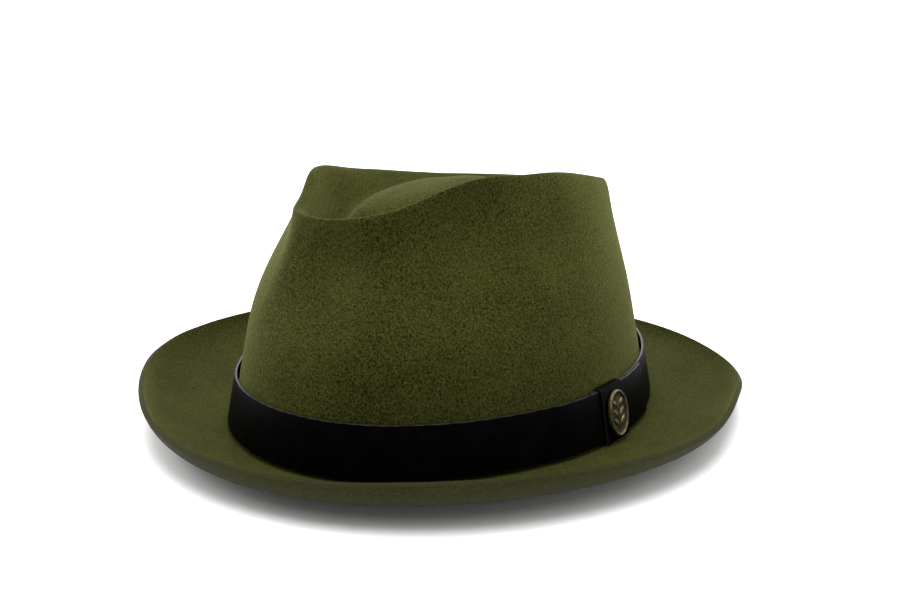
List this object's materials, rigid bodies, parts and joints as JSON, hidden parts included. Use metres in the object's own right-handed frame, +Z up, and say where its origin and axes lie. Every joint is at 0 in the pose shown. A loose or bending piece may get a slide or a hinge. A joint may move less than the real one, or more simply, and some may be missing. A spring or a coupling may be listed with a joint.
{
  "type": "felt hat",
  "caption": "Short-brim felt hat with a pinched teardrop crown, a black leather band with a sliding keeper and oval badge, and a lined inside with a leather sweatband.",
  "frame": {"origin": "middle of the footprint, on the surface that the brim rests on", "axes": "+Z up, -Y towards the hat's front, +X towards the wearer's left, where the badge is"},
  "size_m": [0.2686, 0.2816, 0.1127],
  "materials": {
    "felt": "brushed wool felt with a soft mottled nap",
    "band_leather": "smooth black leather with cut edges",
    "badge_brass": "aged cast brass, dark in the recesses",
    "thread": "twisted sewing thread",
    "sweat_leather": "soft grained leather",
    "binding_cloth": "woven binding tape",
    "reed_plastic": "extruded plastic",
    "ribbon": "ribbed ribbon",
    "lining_satin": "satin lining"
  },
  "bodies": {
    "hat": {"felt_body": "felt", "hat_band": "band_leather", "band_tacks": "thread", "sweatband": "sweat_leather", "sweatband_reed": "reed_plastic", "reed_binding": "binding_cloth", "sweatband_stitching": "thread", "sweatband_seam_tape": "binding_cloth", "sweatband_bow": "ribbon", "lining_side": "lining_satin", "lining_tip": "lining_satin"},
    "keeper": {"band_keeper": "band_leather", "badge": "badge_brass"}
  },
  "joints": [
    {"name": "keeper_slide", "type": "hinge", "parent": "hat", "child": "keeper", "pos_m": [-0.03046, 0.00209, 0.015], "axis": [0, 0, 1], "range_deg": [-3.5, 3.5]}
  ]
}
